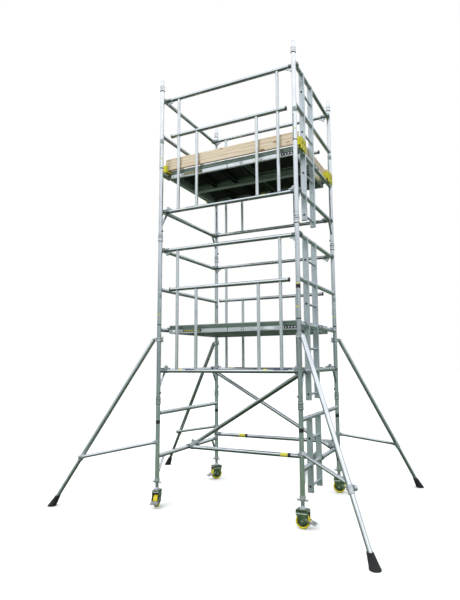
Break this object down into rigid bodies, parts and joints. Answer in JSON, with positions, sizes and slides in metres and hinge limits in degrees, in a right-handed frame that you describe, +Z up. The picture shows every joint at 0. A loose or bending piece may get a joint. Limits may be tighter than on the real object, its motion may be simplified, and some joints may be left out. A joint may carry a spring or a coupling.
{
  "type": "mobile tower scaffold",
  "caption": "Aluminium mobile tower scaffold with ladder frames, decked platforms, guardrails, toe boards, braces, stabilisers and braked swivel castors.",
  "frame": {"origin": "on the ground, at the middle of the box round the whole tower with its stabilisers", "axes": "+Z up; +X along the platforms, towards the end with the ladders; +Y from the front guardrails to the back ones"},
  "size_m": [4.0066, 2.915, 5.32],
  "materials": {
    "frame_aluminium": "satin",
    "guardrail_aluminium": "satin",
    "brace_aluminium": "satin",
    "stabiliser_aluminium": "satin",
    "deck_plywood": "matt",
    "toe_board_softwood": "matt",
    "yellow_plastic": "satin",
    "plated_steel": "satin",
    "castor_steel": "satin",
    "castor_tyre": "matt",
    "foot_rubber": "matt"
  },
  "bodies": {
    "tower": {"base_plain_frame": "frame_aluminium", "base_ladder_frame": "frame_aluminium", "middle_plain_frame": "frame_aluminium", "middle_ladder_frame": "frame_aluminium", "top_plain_frame": "frame_aluminium", "top_ladder_frame": "frame_aluminium", "lower_front_deck": "deck_plywood", "lower_back_deck": "deck_plywood", "lower_front_guardrail": "guardrail_aluminium", "lower_back_guardrail": "guardrail_aluminium", "upper_front_deck": "deck_plywood", "upper_back_deck": "deck_plywood", "upper_front_guardrail": "guardrail_aluminium", "upper_back_guardrail": "guardrail_aluminium", "front_horizontal_brace": "brace_aluminium", "front_diagonal_brace": "brace_aluminium", "back_diagonal_brace": "brace_aluminium", "back_horizontal_brace": "brace_aluminium", "front_toe_board": "toe_board_softwood", "back_toe_board": "toe_board_softwood", "left_toe_board": "toe_board_softwood", "right_toe_board": "toe_board_softwood", "front_left_toe_clip": "yellow_plastic", "front_right_toe_clip": "yellow_plastic", "back_left_toe_clip": "yellow_plastic", "back_right_toe_clip": "yellow_plastic"},
    "lower_hatch_lid": {"lower_hatch_lid": "deck_plywood"},
    "upper_hatch_lid": {"upper_hatch_lid": "deck_plywood"},
    "front_left_adjustable_leg": {"front_left_adjustable_leg": "plated_steel"},
    "front_left_leg_nut": {"front_left_leg_nut": "plated_steel"},
    "front_left_castor_fork": {"front_left_castor_fork": "castor_steel"},
    "front_left_castor_wheel": {"front_left_castor_wheel": "castor_tyre"},
    "front_left_brake_pedal": {"front_left_brake_pedal": "plated_steel"},
    "front_left_stabiliser_tube": {"front_left_stabiliser_tube": "stabiliser_aluminium"},
    "front_left_stabiliser_foot": {"front_left_stabiliser_foot": "stabiliser_aluminium"},
    "front_left_stabiliser_arm": {"front_left_stabiliser_arm": "stabiliser_aluminium"},
    "front_right_adjustable_leg": {"front_right_adjustable_leg": "plated_steel"},
    "front_right_leg_nut": {"front_right_leg_nut": "plated_steel"},
    "front_right_castor_fork": {"front_right_castor_fork": "castor_steel"},
    "front_right_castor_wheel": {"front_right_castor_wheel": "castor_tyre"},
    "front_right_brake_pedal": {"front_right_brake_pedal": "plated_steel"},
    "front_right_stabiliser_tube": {"front_right_stabiliser_tube": "stabiliser_aluminium"},
    "front_right_stabiliser_foot": {"front_right_stabiliser_foot": "stabiliser_aluminium"},
    "front_right_stabiliser_arm": {"front_right_stabiliser_arm": "stabiliser_aluminium"},
    "back_left_adjustable_leg": {"back_left_adjustable_leg": "plated_steel"},
    "back_left_leg_nut": {"back_left_leg_nut": "plated_steel"},
    "back_left_castor_fork": {"back_left_castor_fork": "castor_steel"},
    "back_left_castor_wheel": {"back_left_castor_wheel": "castor_tyre"},
    "back_left_brake_pedal": {"back_left_brake_pedal": "plated_steel"},
    "back_left_stabiliser_tube": {"back_left_stabiliser_tube": "stabiliser_aluminium"},
    "back_left_stabiliser_foot": {"back_left_stabiliser_foot": "stabiliser_aluminium"},
    "back_left_stabiliser_arm": {"back_left_stabiliser_arm": "stabiliser_aluminium"},
    "back_right_adjustable_leg": {"back_right_adjustable_leg": "plated_steel"},
    "back_right_leg_nut": {"back_right_leg_nut": "plated_steel"},
    "back_right_castor_fork": {"back_right_castor_fork": "castor_steel"},
    "back_right_castor_wheel": {"back_right_castor_wheel": "castor_tyre"},
    "back_right_brake_pedal": {"back_right_brake_pedal": "plated_steel"},
    "back_right_stabiliser_tube": {"back_right_stabiliser_tube": "stabiliser_aluminium"},
    "back_right_stabiliser_foot": {"back_right_stabiliser_foot": "stabiliser_aluminium"},
    "back_right_stabiliser_arm": {"back_right_stabiliser_arm": "stabiliser_aluminium"}
  },
  "joints": [
    {"name": "lower_hatch_hinge", "type": "hinge", "parent": "tower", "child": "lower_hatch_lid", "pos_m": [0.60835, -0.5511, 2.125], "axis": [1, 0, 0], "range_deg": [0, 95]},
    {"name": "upper_hatch_hinge", "type": "hinge", "parent": "tower", "child": "upper_hatch_lid", "pos_m": [0.60835, -0.5511, 4.125], "axis": [1, 0, 0], "range_deg": [0, 95]},
    {"name": "front_left_nut_turn", "type": "hinge", "parent": "tower", "child": "front_left_leg_nut", "pos_m": [-0.75665, -0.7281, 0.29], "axis": [0, 0, 1], "range_deg": [0, 15120]},
    {"name": "front_left_leg_extension", "type": "slide", "parent": "tower", "child": "front_left_adjustable_leg", "axis": [0, 0, -1], "range_m": [0, 0.25]},
    {"name": "front_left_castor_swivel", "type": "hinge", "parent": "front_left_adjustable_leg", "child": "front_left_castor_fork", "pos_m": [-0.75665, -0.7281, 0.19], "axis": [0, 0, 1], "continuous": true},
    {"name": "front_left_wheel_roll", "type": "hinge", "parent": "front_left_castor_fork", "child": "front_left_castor_wheel", "pos_m": [-0.75665, -0.7281, 0.075], "axis": [0.9397, 0.342, 0], "continuous": true},
    {"name": "front_left_brake_press", "type": "hinge", "parent": "front_left_castor_fork", "child": "front_left_brake_pedal", "pos_m": [-0.74023, -0.7732, 0.098], "axis": [0.9397, 0.342, 0], "range_deg": [-20, 12]},
    {"name": "front_left_stabiliser_swing", "type": "hinge", "parent": "tower", "child": "front_left_stabiliser_tube", "pos_m": [-0.75665, -0.7281, 1.95], "axis": [0, 0, 1], "range_deg": [-20, 20]},
    {"name": "front_left_foot_extension", "type": "slide", "parent": "front_left_stabiliser_tube", "child": "front_left_stabiliser_foot", "axis": [-0.4804, -0.2039, -0.853], "range_m": [-0.3, 0.25]},
    {"name": "front_left_arm_fold", "type": "hinge", "parent": "front_left_stabiliser_tube", "child": "front_left_stabiliser_arm", "pos_m": [-1.57349, -1.13023, 0.5655], "axis": [0.3907, -0.9205, 0], "range_deg": [0, 35]},
    {"name": "front_right_nut_turn", "type": "hinge", "parent": "tower", "child": "front_right_leg_nut", "pos_m": [1.04335, -0.7281, 0.29], "axis": [0, 0, 1], "range_deg": [0, 15120]},
    {"name": "front_right_leg_extension", "type": "slide", "parent": "tower", "child": "front_right_adjustable_leg", "axis": [0, 0, -1], "range_m": [0, 0.25]},
    {"name": "front_right_castor_swivel", "type": "hinge", "parent": "front_right_adjustable_leg", "child": "front_right_castor_fork", "pos_m": [1.04335, -0.7281, 0.19], "axis": [0, 0, 1], "continuous": true},
    {"name": "front_right_wheel_roll", "type": "hinge", "parent": "front_right_castor_fork", "child": "front_right_castor_wheel", "pos_m": [1.04335, -0.7281, 0.075], "axis": [0, 1, 0], "continuous": true},
    {"name": "front_right_brake_press", "type": "hinge", "parent": "front_right_castor_fork", "child": "front_right_brake_pedal", "pos_m": [1.09135, -0.7281, 0.098], "axis": [0, 1, 0], "range_deg": [-20, 12]},
    {"name": "front_right_stabiliser_swing", "type": "hinge", "parent": "tower", "child": "front_right_stabiliser_tube", "pos_m": [1.04335, -0.7281, 1.95], "axis": [0, 0, 1], "range_deg": [-20, 20]},
    {"name": "front_right_foot_extension", "type": "slide", "parent": "front_right_stabiliser_tube", "child": "front_right_stabiliser_foot", "axis": [0.3597, -0.2912, -0.8865], "range_m": [-0.3, 0.25]},
    {"name": "front_right_arm_fold", "type": "hinge", "parent": "front_right_stabiliser_tube", "child": "front_right_stabiliser_arm", "pos_m": [1.68533, -1.18234, 0.5655], "axis": [0.6293, 0.7771, 0], "range_deg": [0, 35]},
    {"name": "back_left_nut_turn", "type": "hinge", "parent": "tower", "child": "back_left_leg_nut", "pos_m": [-0.75665, 0.72191, 0.29], "axis": [0, 0, 1], "range_deg": [0, 15120]},
    {"name": "back_left_leg_extension", "type": "slide", "parent": "tower", "child": "back_left_adjustable_leg", "axis": [0, 0, -1], "range_m": [0, 0.25]},
    {"name": "back_left_castor_swivel", "type": "hinge", "parent": "back_left_adjustable_leg", "child": "back_left_castor_fork", "pos_m": [-0.75665, 0.72191, 0.19], "axis": [0, 0, 1], "continuous": true},
    {"name": "back_left_wheel_roll", "type": "hinge", "parent": "back_left_castor_fork", "child": "back_left_castor_wheel", "pos_m": [-0.75665, 0.72191, 0.075], "axis": [0.8192, -0.5736, 0], "continuous": true},
    {"name": "back_left_brake_press", "type": "hinge", "parent": "back_left_castor_fork", "child": "back_left_brake_pedal", "pos_m": [-0.78418, 0.68258, 0.098], "axis": [0.8192, -0.5736, 0], "range_deg": [-20, 12]},
    {"name": "back_left_stabiliser_swing", "type": "hinge", "parent": "tower", "child": "back_left_stabiliser_tube", "pos_m": [-0.75665, 0.72191, 1.95], "axis": [0, 0, 1], "range_deg": [-20, 20]},
    {"name": "back_left_foot_extension", "type": "slide", "parent": "back_left_stabiliser_tube", "child": "back_left_stabiliser_foot", "axis": [-0.4934, 0.2094, -0.8442], "range_m": [-0.3, 0.25]},
    {"name": "back_left_arm_fold", "type": "hinge", "parent": "back_left_stabiliser_tube", "child": "back_left_stabiliser_arm", "pos_m": [-1.64276, 1.04263, 0.5655], "axis": [-0.3907, -0.9205, 0], "range_deg": [0, 35]},
    {"name": "back_right_nut_turn", "type": "hinge", "parent": "tower", "child": "back_right_leg_nut", "pos_m": [1.04335, 0.72191, 0.29], "axis": [0, 0, 1], "range_deg": [0, 15120]},
    {"name": "back_right_leg_extension", "type": "slide", "parent": "tower", "child": "back_right_adjustable_leg", "axis": [0, 0, -1], "range_m": [0, 0.25]},
    {"name": "back_right_castor_swivel", "type": "hinge", "parent": "back_right_adjustable_leg", "child": "back_right_castor_fork", "pos_m": [1.04335, 0.72191, 0.19], "axis": [0, 0, 1], "continuous": true},
    {"name": "back_right_wheel_roll", "type": "hinge", "parent": "back_right_castor_fork", "child": "back_right_castor_wheel", "pos_m": [1.04335, 0.72191, 0.075], "axis": [-0.1736, 0.9848, 0], "continuous": true},
    {"name": "back_right_brake_press", "type": "hinge", "parent": "back_right_castor_fork", "child": "back_right_brake_pedal", "pos_m": [1.09062, 0.73024, 0.098], "axis": [-0.1736, 0.9848, 0], "range_deg": [-20, 12]},
    {"name": "back_right_stabiliser_swing", "type": "hinge", "parent": "tower", "child": "back_right_stabiliser_tube", "pos_m": [1.04335, 0.72191, 1.95], "axis": [0, 0, 1], "range_deg": [-20, 20]},
    {"name": "back_right_foot_extension", "type": "slide", "parent": "back_right_stabiliser_tube", "child": "back_right_stabiliser_foot", "axis": [0.3864, 0.2912, -0.8752], "range_m": [-0.3, 0.25]},
    {"name": "back_right_arm_fold", "type": "hinge", "parent": "back_right_stabiliser_tube", "child": "back_right_stabiliser_arm", "pos_m": [1.67343, 1.26056, 0.5655], "axis": [-0.6018, 0.7986, 0], "range_deg": [0, 35]}
  ],
  "couplings": [
    {"joint": "front_left_nut_turn", "follows": "front_left_leg_extension", "rad_per_m": 1047.2},
    {"joint": "front_right_nut_turn", "follows": "front_right_leg_extension", "rad_per_m": 1047.2},
    {"joint": "back_left_nut_turn", "follows": "back_left_leg_extension", "rad_per_m": 1047.2},
    {"joint": "back_right_nut_turn", "follows": "back_right_leg_extension", "rad_per_m": 1047.2}
  ]
}
